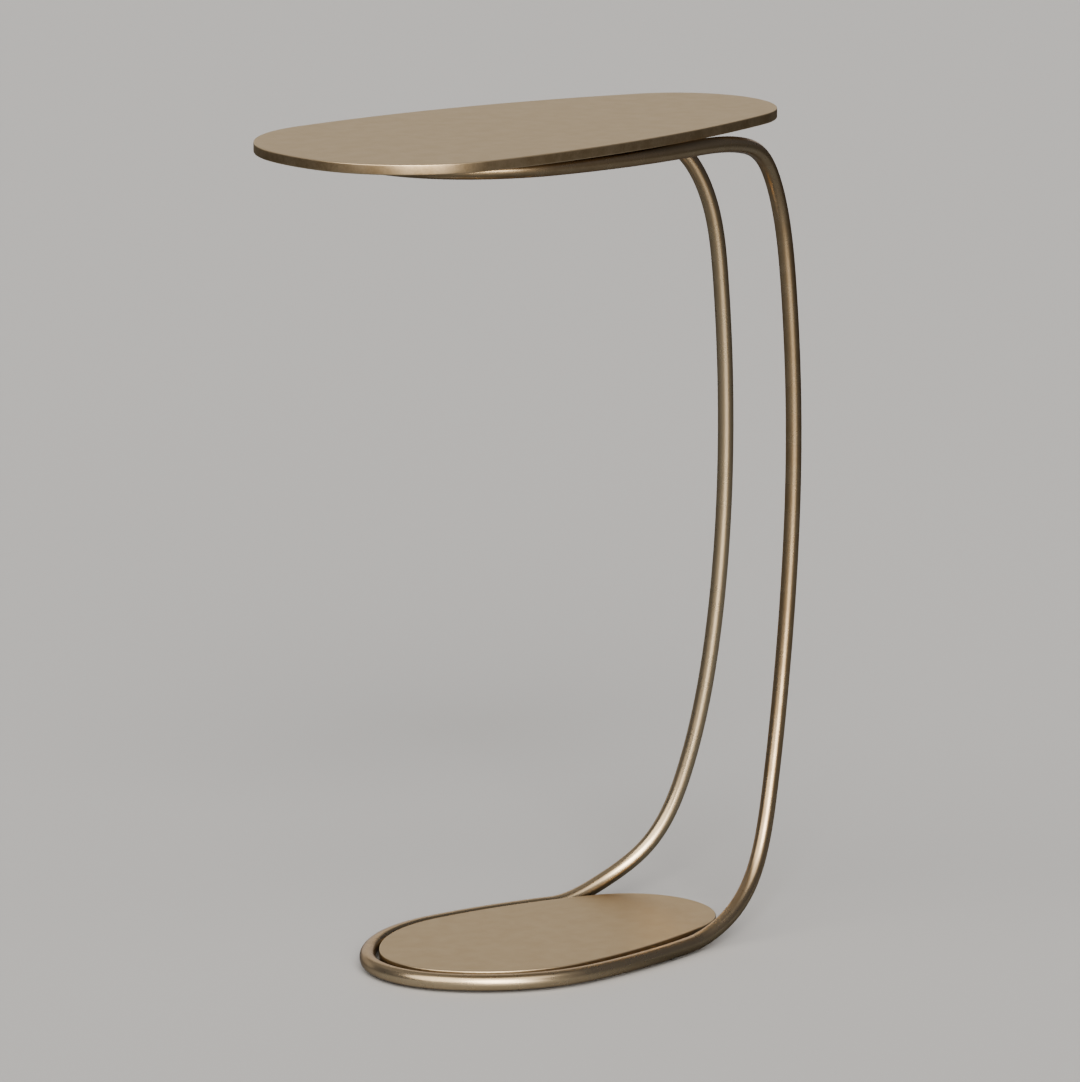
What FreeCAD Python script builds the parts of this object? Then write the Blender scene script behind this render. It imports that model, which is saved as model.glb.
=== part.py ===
import FreeCAD, Part
import math
import os
import Sketcher

# C-shaped side table: an egg-shaped metal top and a weighted base plate, carried by one run of
# round tube that loops on the floor, rises as two bowed uprights and loops again under the top.
# Millimetres, +Z up. The origin is on the floor, under the middle of the table's overall box.
# +X points to the uprights, -Y is the front. The left-right mirror plane is XZ.

SIZES = (
    # whole table
    ("overall_length", 483.4),
    ("overall_height", 659.4),
    # top plate, nose at the free end, tail over the uprights
    ("top_length", 466.4),
    ("top_width", 233.7),
    ("top_thickness", 8.0),
    ("top_arris", 0.9),
    ("top_nose_radius_share", 0.757),
    ("top_corner_radius_share", 0.449),
    ("top_tail_radius_share", 0.336),
    ("top_widest_share", 0.666),
    # round tube and the spigots inside its four joints
    ("tube_diameter", 12.7),
    ("tube_wall", 2.0),
    ("spigot_length", 44.0),
    ("spigot_clearance", 0.1),
    # loop under the top, measured on the tube's centreline
    ("upper_setback", 76.8),
    ("upper_inset", 11.05),
    ("upper_heel_run", 79.4),
    ("upper_nose_radius_share", 0.454),
    ("upper_corner_radius_share", 0.615),
    ("upper_side_radius_share", 2.193),
    ("upper_widest_share", 0.771),
    # uprights, centre to centre at the waist
    ("waist_spacing", 80.8),
    # base plate inside the floor loop, and the gap round it
    ("plate_setback", 101.9),
    ("plate_length", 307.0),
    ("plate_width", 181.6),
    ("plate_thickness", 9.0),
    ("plate_arris", 0.9),
    ("plate_nose_radius_share", 0.363),
    ("plate_corner_radius_share", 0.672),
    ("plate_tail_radius_share", 0.3816),
    ("plate_widest_share", 0.592),
    ("plate_proud", 0.1),
    ("rim_gap", 2.75),
    ("base_heel_run", 120.0),
    # flat tabs welded inside both loops
    ("tab_width", 20.0),
    ("tab_thickness", 3.0),
    ("tab_reach", 24.0),
    ("tab_to_heel", 24.0),
    # countersunk socket screws, driven from below
    ("screw_diameter", 5.0),
    ("screw_head_diameter", 9.4),
    ("screw_head_height", 2.2),
    ("screw_engagement", 5.0),
    ("screw_socket", 3.0),
    ("screw_socket_depth", 1.6),
    ("screw_clearance", 0.25),
    ("thread_clearance", 0.05),
    ("hole_bottom_gap", 0.6),
    # rubber feet under the base plate
    ("foot_proud", 2.3),
    ("foot_diameter", 18.0),
    ("foot_round", 1.0),
    ("foot_inset", 58.0),
    ("foot_spacing", 76.0),
    # how closely the arcs of a tube follow its smooth line
    ("path_tolerance", 0.02),
)

# Places along an upright that its smooth line passes through, from the floor joint to the joint
# under the top. Each row: share of the way from the heel out to the bow, share of the flare that
# is left over the waist, share of the rise between the two loops.
LOWER_STATION_SHARES = (
    (0.309, 0.825, 0.0183),
    (0.581, 0.528, 0.0622),
    (0.784, 0.223, 0.164),
    (0.930, 0.041, 0.338),
    (1.0, 0.0, 0.581),
)
UPPER_STATION_SHARES = (
    (0.960, 0.0, 0.7895),
    (0.875, 0.046, 0.8977),
    (0.733, 0.194, 0.9557),
    (0.416, 0.608, 0.9895),
)

# A swept rod may differ from its section times its length by this share
ROD_VOLUME_SHARE = 0.002

UP = FreeCAD.Vector(0, 0, 1)
SIDEWAYS = FreeCAD.Vector(0, 1, 0)

doc = FreeCAD.newDocument("c_side_table")
sheet = doc.addObject("Spreadsheet::Sheet", "Sizes")
for row, (alias, value) in enumerate(SIZES, start=1):
    sheet.set("A%d" % row, alias)
    sheet.set("B%d" % row, str(value))
    sheet.setAlias("B%d" % row, alias)
doc.recompute()

nodes = []


def size(alias):
    """A driving size, read from the sheet."""
    return float(sheet.get(alias))


def node(feature, label):
    """Names a finished sub-part and puts it on the list of what is written."""
    feature.Label = label
    nodes.append(feature)
    return feature


def bind(feature, **expressions):
    """Binds properties to the sheet; a double underscore in a name stands for a dot."""
    for name, expression in expressions.items():
        feature.setExpression(name.replace("__", "."), expression)
    return feature


# Heights and lengths that follow from the sizes, as expressions on the sheet
FRONT_END = "-Sizes.overall_length / 2"
TUBE_RADIUS = "Sizes.tube_diameter / 2"
BORE_RADIUS = "(Sizes.tube_diameter / 2 - Sizes.tube_wall)"
TOP_UNDERSIDE = "(Sizes.overall_height - Sizes.top_thickness)"
PLATE_UNDERSIDE = "(Sizes.foot_proud + Sizes.tube_diameter + Sizes.plate_proud - Sizes.plate_thickness)"
SCREW_LENGTH = "(Sizes.tab_thickness + Sizes.screw_engagement)"
TAB_START = "Sizes.tube_diameter / 4"
UPPER_WIDTH = "(Sizes.top_width - 2 * Sizes.upper_inset)"

tube_radius = size("tube_diameter") / 2
front_end = -size("overall_length") / 2
base_height = size("foot_proud") + tube_radius
upper_height = size("overall_height") - size("top_thickness") - tube_radius
bow_x = size("overall_length") / 2 - tube_radius
waist_half = size("waist_spacing") / 2


class Egg:
    """Half outline of tangent arcs, nose at x = 0: nose, corner, side and, if closed, tail."""

    def __init__(self, half_width, nose, corner, side, widest):
        self.nose, self.corner, self.side = nose, corner, side
        self.half_width, self.widest = half_width, widest
        self.nose_centre = FreeCAD.Vector(nose, 0, 0)
        self.side_centre = FreeCAD.Vector(widest, half_width - side, 0)
        self.corner_centre = self._corner_centre()
        self.nose_end = self._turn(self.nose_centre, nose > corner)
        self.corner_end = self._turn(self.side_centre, side > corner)

    def _corner_centre(self):
        """Where circles about the nose and side centres meet, so that the corner touches both."""
        line = self.side_centre - self.nose_centre
        near = abs(self.nose - self.corner)
        far = abs(self.side - self.corner)
        along = (near**2 - far**2 + line.Length**2) / (2 * line.Length)
        across = math.sqrt(near**2 - along**2)
        unit = line.normalize()
        foot = self.nose_centre + unit * along
        normal = FreeCAD.Vector(-unit.y, unit.x, 0) * across
        towards_nose = normal if normal.x < 0 else normal * -1
        # a corner tighter than the nose turns about a point outside the nose centre
        return foot + towards_nose if self.corner < self.nose else foot - towards_nose

    def _turn(self, centre, corner_is_tighter):
        """Angle, seen from a centre, of the point where that arc meets the corner arc."""
        ray = self.corner_centre - centre
        if not corner_is_tighter:
            ray = ray * -1
        return math.atan2(ray.y, ray.x)

    def grown(self, offset):
        """The same outline, offset outwards."""
        return Egg(self.half_width + offset, self.nose + offset, self.corner + offset,
                   self.side + offset, self.widest + offset)

    def side_turn(self, run):
        """Angle on the side arc at a run past the widest place."""
        return math.acos(run / self.side)


def closed_egg(prefix):
    """A plate's outline: its width gives nose, corner and tail, its length then gives the side."""
    width = size(prefix + "_width")
    half = width / 2
    tail = width * size(prefix + "_tail_radius_share")
    widest = width * size(prefix + "_widest_share")
    tail_run = size(prefix + "_length") - widest - tail
    side = (tail_run**2 + half**2 - tail**2) / (2 * (half - tail))
    egg = Egg(half, width * size(prefix + "_nose_radius_share"),
              width * size(prefix + "_corner_radius_share"), side, widest)
    egg.tail = tail
    egg.tail_centre = FreeCAD.Vector(widest + tail_run, 0, 0)
    ray = egg.tail_centre - egg.side_centre
    egg.side_end = math.atan2(ray.y, ray.x)
    return egg


top_egg = closed_egg("top")
plate_egg = closed_egg("plate")
base_egg = plate_egg.grown(size("rim_gap") + tube_radius)
upper_width = size("top_width") - 2 * size("upper_inset")
upper_egg = Egg(upper_width / 2, upper_width * size("upper_nose_radius_share"),
                upper_width * size("upper_corner_radius_share"),
                upper_width * size("upper_side_radius_share"), upper_width * size("upper_widest_share"))
base_nose_x = front_end + size("plate_setback") - size("rim_gap") - tube_radius
upper_nose_x = front_end + size("upper_setback")


def origin_plane(body, role):
    """One of a body's own origin planes."""
    return [plane for plane in body.Origin.OriginFeatures if plane.Role == role][0]


def flat_sketch(body, name):
    """A sketch on a body's own XY plane."""
    sketch = body.newObject("Sketcher::SketchObject", name)
    sketch.AttachmentSupport = (origin_plane(body, "XY_Plane"), "")
    sketch.MapMode = "FlatFace"
    return sketch


def arc_of(centre, radius, start, end):
    return Part.ArcOfCircle(Part.Circle(centre, UP, radius), start, end)


def dimension(sketch, expression, kind, *where):
    """Adds a driving dimension and binds it to the sheet."""
    index = sketch.addConstraint(Sketcher.Constraint(kind, *where))
    sketch.setExpression("Constraints[%d]" % index, expression)


def half_egg_sketch(body, prefix, egg):
    """The half outline with its axis line: four tangent arcs, nose tip at the origin."""
    sketch = flat_sketch(body, prefix + "_outline")
    nose = sketch.addGeometry(arc_of(egg.nose_centre, egg.nose, egg.nose_end, math.pi))
    corner = sketch.addGeometry(arc_of(egg.corner_centre, egg.corner, egg.corner_end, egg.nose_end))
    side = sketch.addGeometry(arc_of(egg.side_centre, egg.side, egg.side_end, egg.corner_end))
    tail = sketch.addGeometry(arc_of(egg.tail_centre, egg.tail, 0, egg.side_end))
    tip = FreeCAD.Vector(size(prefix + "_length"), 0, 0)
    axis = sketch.addGeometry(Part.LineSegment(FreeCAD.Vector(), tip))
    crown_point = FreeCAD.Vector(egg.widest, egg.half_width, 0)
    crown = sketch.addGeometry(Part.Point(crown_point), True)
    for first, second in ((nose, corner), (corner, side), (side, tail)):
        sketch.addConstraint(Sketcher.Constraint("Tangent", first, 1, second, 2))
    sketch.addConstraint(Sketcher.Constraint("Coincident", nose, 2, -1, 1))
    sketch.addConstraint(Sketcher.Constraint("Coincident", axis, 1, nose, 2))
    sketch.addConstraint(Sketcher.Constraint("Coincident", axis, 2, tail, 1))
    sketch.addConstraint(Sketcher.Constraint("PointOnObject", axis, 2, -1))
    sketch.addConstraint(Sketcher.Constraint("PointOnObject", nose, 3, -1))
    sketch.addConstraint(Sketcher.Constraint("PointOnObject", tail, 3, -1))
    sketch.addConstraint(Sketcher.Constraint("PointOnObject", crown, 1, side))
    sketch.addConstraint(Sketcher.Constraint("Vertical", crown, 1, side, 3))
    width = "Sizes.%s_width" % prefix
    share = width + " * Sizes." + prefix + "_%s_share"
    dimension(sketch, share % "nose_radius", "Radius", nose, egg.nose)
    dimension(sketch, share % "corner_radius", "Radius", corner, egg.corner)
    dimension(sketch, share % "tail_radius", "Radius", tail, egg.tail)
    dimension(sketch, share % "widest", "DistanceX", -1, 1, crown, 1, egg.widest)
    dimension(sketch, width + " / 2", "DistanceY", -1, 1, crown, 1, egg.half_width)
    dimension(sketch, "Sizes.%s_length" % prefix, "DistanceX", -1, 1, axis, 2, tip.x)
    return sketch


def outline_edges(shape, levels):
    """Names of the edges that lie flat at the given heights."""
    names = []
    for index, edge in enumerate(shape.Edges, start=1):
        box = edge.BoundBox
        flat = box.ZLength < size("path_tolerance")
        on_rim = flat and min(abs(box.ZMin - level) for level in levels) < size("path_tolerance")
        if on_rim and edge.Length > size("screw_head_diameter") * math.pi:
            names.append("Edge%d" % index)
    return names


def egg_plate(prefix, label, egg, screw_places, place):
    """Egg-shaped plate with eased arrises and blind screw holes in its underside."""
    body = doc.addObject("PartDesign::Body", label + "_body")
    pad = body.newObject("PartDesign::Pad", prefix + "_half")
    pad.Profile = half_egg_sketch(body, prefix, egg)
    bind(pad, Length="Sizes.%s_thickness" % prefix)
    doc.recompute()
    whole = body.newObject("PartDesign::Mirrored", prefix + "_whole")
    whole.Originals = [pad]
    whole.MirrorPlane = (origin_plane(body, "XZ_Plane"), [""])
    whole.Refine = True
    body.Tip = whole
    doc.recompute()
    solid_volume = whole.Shape.Volume

    holes = flat_sketch(body, prefix + "_screw_places")
    for across, along, position in screw_places:
        circle = holes.addGeometry(Part.Circle(position, UP, size("screw_diameter") / 2))
        dimension(holes, "Sizes.screw_diameter + 2 * Sizes.thread_clearance", "Diameter", circle,
                  size("screw_diameter"))
        dimension(holes, across, "DistanceX", -1, 1, circle, 3, position.x)
        if along is None:
            holes.addConstraint(Sketcher.Constraint("PointOnObject", circle, 3, -1))
        elif position.y > 0:
            dimension(holes, along, "DistanceY", -1, 1, circle, 3, position.y)
        else:
            dimension(holes, along, "DistanceY", circle, 3, -1, 1, -position.y)
    pocket = body.newObject("PartDesign::Pocket", prefix + "_screw_holes")
    pocket.Profile = holes
    pocket.Reversed = True
    bind(pocket, Length="Sizes.screw_engagement + Sizes.hole_bottom_gap")
    body.Tip = pocket
    doc.recompute()
    if not pocket.Shape.Volume < solid_volume:
        raise RuntimeError(label + ": the screw holes cut nothing")

    easing = body.newObject("PartDesign::Fillet", prefix + "_arrises")
    easing.Base = (pocket, outline_edges(pocket.Shape, (0, size(prefix + "_thickness"))))
    bind(easing, Radius="Sizes.%s_arris" % prefix)
    body.Tip = easing
    bind(body, **place)
    doc.recompute()
    return node(body, label)


def tab_place(egg, prefix):
    """Run past the widest place, and the half spacing of the tube there, for the heel tabs."""
    run = size(prefix + "_heel_run") - size("tab_to_heel")
    return run, egg.half_width - egg.side + math.sqrt(egg.side**2 - run**2)


def loop_expressions(prefix):
    """Setback of a loop's nose, its half width, side radius and widest place, on its centreline."""
    if prefix == "upper":
        return ("Sizes.upper_setback", UPPER_WIDTH + " / 2",
                UPPER_WIDTH + " * Sizes.upper_side_radius_share",
                UPPER_WIDTH + " * Sizes.upper_widest_share")
    offset = "(Sizes.rim_gap + Sizes.tube_diameter / 2)"
    half = "Sizes.plate_width / 2"
    tail = "Sizes.plate_width * Sizes.plate_tail_radius_share"
    widest = "Sizes.plate_width * Sizes.plate_widest_share"
    run = "(Sizes.plate_length - %s - %s)" % (widest, tail)
    side = "(%s ^ 2 + (%s) ^ 2 - (%s) ^ 2) / (2 * (%s - %s))" % (run, half, tail, half, tail)
    return ("(Sizes.plate_setback - %s)" % offset, "%s + %s" % (half, offset),
            "(%s + %s)" % (side, offset), "(%s + %s)" % (widest, offset))


def tab_expressions(prefix):
    """Where the heel tabs leave the tube: distance from the table's front end, and half spacing."""
    setback, half, side, widest = loop_expressions(prefix)
    run = "(Sizes.%s_heel_run - Sizes.tab_to_heel)" % prefix
    along = "%s + %s + %s" % (setback, widest, run)
    across = "(%s - %s + sqrt((%s) ^ 2 - %s ^ 2))" % (half, side, side, run)
    return setback, along, across


def screw_places(prefix, egg, nose_x, plate_x, plate_setback):
    """The three screws of a plate, in the plate's own frame: nose, front heel, rear heel."""
    setback, along, across = tab_expressions(prefix)
    run, half = tab_place(egg, prefix)
    start = nose_x - plate_x
    reach = size("tab_reach")
    nose = ("%s - %s + Sizes.tab_reach" % (setback, plate_setback), None,
            FreeCAD.Vector(start + reach, 0, 0))
    heels = [("%s - %s" % (along, plate_setback), across + " - Sizes.tab_reach",
              FreeCAD.Vector(start + egg.widest + run, hand * (half - reach), 0)) for hand in (-1, 1)]
    return [nose] + heels


def half_loop(egg, nose_x, height, heel_run):
    """Front half of a loop, as (centre, radius, start, end) arcs from the heel to the nose."""
    shift = FreeCAD.Vector(nose_x, 0, height)
    heel = egg.side_turn(heel_run)
    return [(egg.side_centre + shift, egg.side, heel, egg.corner_end),
            (egg.corner_centre + shift, egg.corner, egg.corner_end, egg.nose_end),
            (egg.nose_centre + shift, egg.nose, egg.nose_end, math.pi)]


def point_on(arc, angle, hand):
    """A point of an arc, on the front (hand -1) or mirrored to the rear (hand 1)."""
    centre, radius = arc[0], arc[1]
    across = centre.y + radius * math.sin(angle)
    return FreeCAD.Vector(centre.x + radius * math.cos(angle), hand * across, centre.z)


def arc_edge(arc, start, end, hand):
    middle = (start + end) / 2
    points = [point_on(arc, angle, hand) for angle in (start, middle, end)]
    return Part.Arc(*points).toShape()


def loop_wire(arcs):
    """The whole loop: front heel, round the nose, to the rear heel."""
    front = [arc_edge(arc, arc[2], arc[3], -1) for arc in arcs[:-1]]
    rear = [arc_edge(arc, arc[3], arc[2], 1) for arc in reversed(arcs[:-1])]
    nose = arcs[-1]
    tip = point_on(nose, nose[3], -1)
    round_nose = Part.Arc(point_on(nose, nose[2], -1), tip, point_on(nose, nose[2], 1)).toShape()
    return Part.Wire(front + [round_nose] + rear)


def heel(arcs):
    """Front heel of a loop: the end point, and the direction in which the tube leaves the loop."""
    side = arcs[0]
    angle = side[2]
    return point_on(side, angle, -1), FreeCAD.Vector(math.sin(angle), math.cos(angle), 0)


base_arcs = half_loop(base_egg, base_nose_x, base_height, size("base_heel_run"))
upper_arcs = half_loop(upper_egg, upper_nose_x, upper_height, size("upper_heel_run"))


def upright_curve():
    """Smooth line of the front upright through its stations, tangent to both loops."""
    rise = upper_height - base_height
    low_end, low_way = heel(base_arcs)
    high_end, high_way = heel(upper_arcs)
    points = [low_end]
    for end, rows in ((low_end, LOWER_STATION_SHARES), (high_end, UPPER_STATION_SHARES)):
        for out, flare, climb in rows:
            x = end.x + out * (bow_x - end.x)
            half = waist_half + flare * (-end.y - waist_half)
            points.append(FreeCAD.Vector(x, -half, base_height + climb * rise))
    points.append(high_end)
    stops = [0.0]
    for before, after in zip(points, points[1:]):
        stops.append(stops[-1] + before.distanceToPoint(after))
    curve = Part.BSplineCurve()
    curve.interpolate(Points=points, Parameters=stops, InitialTangent=low_way,
                      FinalTangent=high_way * -1, Scale=False)
    return curve


def arcs_wire(curve):
    """A smooth line as a chain of tangent arcs."""
    return Part.Wire([arc.toShape() for arc in curve.toBiArcs(size("path_tolerance"))])


def swept_rod(name, wire, radius):
    """Solid rod of a bound radius along a wire."""
    spine = doc.addObject("Part::Feature", name + "_line")
    spine.Shape = wire
    start = wire.OrderedEdges[0]
    ring = bind(doc.addObject("Part::Circle", name + "_ring"), Radius=radius)
    way = start.tangentAt(start.FirstParameter)
    ring.Placement = FreeCAD.Placement(start.valueAt(start.FirstParameter), FreeCAD.Rotation(UP, way))
    rod = doc.addObject("Part::Sweep", name)
    rod.Sections = [ring]
    rod.Spine = (spine, ["Edge%d" % number for number in range(1, len(wire.Edges) + 1)])
    rod.Solid = True
    rod.Frenet = False
    return rod


def check_volume(rod, wire, radius):
    """A rod holds its section times its length."""
    expected = math.pi * radius**2 * wire.Length
    if abs(rod.Shape.Volume - expected) > expected * ROD_VOLUME_SHARE:
        raise RuntimeError("%s: volume %.1f, not %.1f" % (rod.Name, rod.Shape.Volume, expected))


def tube(label, wire):
    """Round tube along a wire; returns the finished tube and the rod of its outside."""
    outside = swept_rod(label + "_outside", wire, TUBE_RADIUS)
    bore = swept_rod(label + "_bore", wire, BORE_RADIUS)
    hollow = doc.addObject("Part::Cut", label + "_tube")
    hollow.Base = outside
    hollow.Tool = bore
    doc.recompute()
    check_volume(outside, wire, tube_radius)
    check_volume(bore, wire, tube_radius - size("tube_wall"))
    return node(hollow, label), outside


def mirrored(feature, label):
    """The rear copy of a front piece."""
    copy = doc.addObject("Part::Mirroring", label + "_mirror")
    copy.Source = feature
    copy.Base = FreeCAD.Vector()
    copy.Normal = SIDEWAYS
    return node(copy, label)


def spigot_wire(arcs, curve, at_start):
    """Short line through a joint: half of it in the loop, half in the upright."""
    half = size("spigot_length") / 2
    side = arcs[0]
    into_loop = arc_edge(side, side[2] + half / side[1], side[2], -1)
    part = curve.copy()
    if at_start:
        part.segment(curve.FirstParameter, curve.parameterAtDistance(half, curve.FirstParameter))
    else:
        part.segment(curve.parameterAtDistance(-half, curve.LastParameter), curve.LastParameter)
        part.reverse()
    into_upright = [arc.toShape() for arc in part.toBiArcs(size("path_tolerance"))]
    return Part.Wire([into_loop] + into_upright)


def spigot(label, wire):
    """Solid plug that joins two tube ends from inside."""
    rod = swept_rod(label + "_rod", wire, BORE_RADIUS + " - Sizes.spigot_clearance")
    doc.recompute()
    check_volume(rod, wire, tube_radius - size("tube_wall") - size("spigot_clearance"))
    return node(rod, label)


def cylinder(name, radius, height, **place):
    return bind(doc.addObject("Part::Cylinder", name), Radius=radius, Height=height, **place)


def fuse(name, base, tool):
    joined = doc.addObject("Part::Fuse", name)
    joined.Base = base
    joined.Tool = tool
    return joined


def cut(name, base, tool):
    rest = doc.addObject("Part::Cut", name)
    rest.Base = base
    rest.Tool = tool
    return rest


def welded_tab(label, outside, place, quarter_turn):
    """Flat tab with a round end and a countersunk hole, coped to the tube that it is welded to."""
    tongue = bind(doc.addObject("Part::Box", label + "_tongue"), Length="Sizes.tab_reach - " + TAB_START,
                  Width="Sizes.tab_width", Height="Sizes.tab_thickness",
                  Placement__Base__x=TAB_START, Placement__Base__y="-Sizes.tab_width / 2")
    round_end = cylinder(label + "_end", "Sizes.tab_width / 2", "Sizes.tab_thickness",
                         Placement__Base__x="Sizes.tab_reach")
    blank = fuse(label + "_blank", tongue, round_end)
    hole = cylinder(label + "_hole", "Sizes.screw_diameter / 2 + Sizes.screw_clearance",
                    "Sizes.tab_thickness", Placement__Base__x="Sizes.tab_reach")
    sink = bind(doc.addObject("Part::Cone", label + "_sink"), Height="Sizes.screw_head_height",
                Radius1="Sizes.screw_head_diameter / 2 + Sizes.screw_clearance",
                Radius2="Sizes.screw_diameter / 2 + Sizes.screw_clearance",
                Placement__Base__x="Sizes.tab_reach")
    drilled = cut(label + "_drilled", blank, fuse(label + "_drill", hole, sink))
    if quarter_turn:
        drilled.Placement = FreeCAD.Placement(FreeCAD.Vector(), FreeCAD.Rotation(UP, 90))
    bind(drilled, **place)
    return node(cut(label + "_coped", drilled, outside), label)


def screw(name, place):
    """Countersunk screw, head down, with a hexagon socket."""
    head = bind(doc.addObject("Part::Cone", name + "_head"), Height="Sizes.screw_head_height",
                Radius1="Sizes.screw_head_diameter / 2", Radius2="Sizes.screw_diameter / 2")
    shank = cylinder(name + "_shank", "Sizes.screw_diameter / 2", SCREW_LENGTH)
    socket = bind(doc.addObject("Part::Prism", name + "_socket"), Height="Sizes.screw_socket_depth",
                  Circumradius="Sizes.screw_socket / sqrt(3)")
    finished = cut(name, fuse(name + "_blank", head, shank), socket)
    return bind(finished, **place)


def tabs_and_screws(prefix, name, outside, underside):
    """Three welded tabs of a loop and their screws: one at the nose, two at the heels."""
    setback, along, across = tab_expressions(prefix)
    level = "%s - Sizes.tab_thickness" % underside
    nose_x = "%s + %s" % (FRONT_END, setback)
    heel_x = "%s + %s" % (FRONT_END, along)
    nose_place = {"Placement__Base__x": nose_x, "Placement__Base__z": level}
    heel_place = {"Placement__Base__x": heel_x, "Placement__Base__y": "-" + across,
                  "Placement__Base__z": level}
    welded_tab(name + "_nose_tab", outside, nose_place, False)
    front = welded_tab(name + "_front_tab", outside, heel_place, True)
    mirrored(front, name + "_rear_tab")
    at_nose = dict(nose_place, Placement__Base__x=nose_x + " + Sizes.tab_reach")
    at_front = dict(heel_place, Placement__Base__y="-(%s - Sizes.tab_reach)" % across)
    at_rear = dict(heel_place, Placement__Base__y="%s - Sizes.tab_reach" % across)
    group = doc.addObject("Part::Compound", name + "_screw_group")
    group.Links = [screw("%s_screw_%s" % (name, where), place)
                   for where, place in (("nose", at_nose), ("front", at_front), ("rear", at_rear))]
    node(group, name + "_screws")


def rubber_foot(label, x, y):
    """Round rubber foot, its lower edge rounded, stuck under the base plate."""
    disc = cylinder(label + "_disc", "Sizes.foot_diameter / 2", PLATE_UNDERSIDE)
    doc.recompute()
    lower = [number for number, edge in enumerate(disc.Shape.Edges, start=1)
             if edge.BoundBox.ZMax < size("foot_round")]
    foot = doc.addObject("Part::Fillet", label + "_foot")
    foot.Base = disc
    foot.Edges = [(number, size("foot_round"), size("foot_round")) for number in lower]
    bind(foot, Placement__Base__x=x, Placement__Base__y=y)
    return node(foot, label)


# Frame
base_loop, base_outside = tube("base_loop", loop_wire(base_arcs))
upper_loop, upper_outside = tube("upper_loop", loop_wire(upper_arcs))
upright_line = upright_curve()
front_upright, front_outside = tube("front_upright", arcs_wire(upright_line))
mirrored(front_upright, "rear_upright")
base_spigot = spigot("base_front_spigot", spigot_wire(base_arcs, upright_line, True))
mirrored(base_spigot, "base_rear_spigot")
upper_spigot = spigot("upper_front_spigot", spigot_wire(upper_arcs, upright_line, False))
mirrored(upper_spigot, "upper_rear_spigot")

# Plates
plate_x = front_end + size("plate_setback")
egg_plate("top", "table_top", top_egg,
          screw_places("upper", upper_egg, upper_nose_x, front_end, "0"),
          {"Placement__Base__x": FRONT_END, "Placement__Base__z": TOP_UNDERSIDE})
egg_plate("plate", "base_plate", plate_egg,
          screw_places("base", base_egg, base_nose_x, plate_x, "Sizes.plate_setback"),
          {"Placement__Base__x": FRONT_END + " + Sizes.plate_setback",
           "Placement__Base__z": PLATE_UNDERSIDE})

# Fixings and feet
tabs_and_screws("upper", "top", upper_outside, TOP_UNDERSIDE)
tabs_and_screws("base", "base", base_outside, PLATE_UNDERSIDE)
nose_foot_x = FRONT_END + " + Sizes.plate_setback + Sizes.foot_inset"
heel_foot_x = FRONT_END + " + Sizes.plate_setback + Sizes.plate_length - Sizes.foot_inset"
for end, foot_x in (("nose", nose_foot_x), ("heel", heel_foot_x)):
    for side, foot_y in (("front", "-Sizes.foot_spacing / 2"), ("rear", "Sizes.foot_spacing / 2")):
        rubber_foot("%s_%s_foot" % (end, side), foot_x, foot_y)

doc.recompute()
for feature in doc.Objects:
    if "Invalid" in feature.State or "Error" in feature.State:
        raise RuntimeError("%s failed: %s" % (feature.Name, feature.State))
for feature in nodes:
    if feature.Shape.isNull() or not feature.Shape.isValid():
        raise RuntimeError("%s has no valid shape" % feature.Label)

os.makedirs("parts", exist_ok=True)
for feature in nodes:
    feature.Shape.exportStep("parts/%s.step" % feature.Label)
    box = feature.Shape.BoundBox
    print("%-20s %d solid(s) %9.0f mm3  x %.1f..%.1f  y %.1f..%.1f  z %.1f..%.1f" % (
        feature.Label, len(feature.Shape.Solids), feature.Shape.Volume, box.XMin, box.XMax,
        box.YMin, box.YMax, box.ZMin, box.ZMax))
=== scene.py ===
import math

import bmesh
import bpy
import numpy as np
from mathutils import Matrix


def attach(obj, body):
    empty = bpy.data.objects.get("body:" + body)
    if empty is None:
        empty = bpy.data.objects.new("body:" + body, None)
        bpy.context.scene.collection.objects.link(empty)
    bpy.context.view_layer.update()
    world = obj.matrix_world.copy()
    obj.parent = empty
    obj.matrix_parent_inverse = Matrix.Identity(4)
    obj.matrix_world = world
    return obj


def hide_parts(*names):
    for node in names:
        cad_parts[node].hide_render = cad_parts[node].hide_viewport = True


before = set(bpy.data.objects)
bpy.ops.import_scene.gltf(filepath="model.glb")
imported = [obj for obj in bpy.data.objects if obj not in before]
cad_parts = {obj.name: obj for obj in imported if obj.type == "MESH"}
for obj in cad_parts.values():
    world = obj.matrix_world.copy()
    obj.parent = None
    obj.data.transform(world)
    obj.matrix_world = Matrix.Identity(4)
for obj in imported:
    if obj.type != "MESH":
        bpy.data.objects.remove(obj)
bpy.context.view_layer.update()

# C-shaped side table. Lengths are millimetres in the part's own frame until a mesh is made:
# +Z up from the floor, +X towards the uprights, -Y the front, XZ the mirror plane.
MM = 0.001
OVERALL_LENGTH = 483.4
OVERALL_HEIGHT = 659.4
FRONT_END = -OVERALL_LENGTH / 2
FOOT_PROUD = 2.3

TUBE_RADIUS = 6.35
TUBE_WALL = 2.0
BASE_LEVEL = FOOT_PROUD + TUBE_RADIUS

TOP_LENGTH, TOP_WIDTH, TOP_THICKNESS, TOP_ARRIS = 466.4, 233.7, 8.0, 0.9
TOP_SHARES = dict(nose=0.757, corner=0.449, tail=0.336, widest=0.666)
TOP_UNDERSIDE = OVERALL_HEIGHT - TOP_THICKNESS
UPPER_LEVEL = TOP_UNDERSIDE - TUBE_RADIUS

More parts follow.
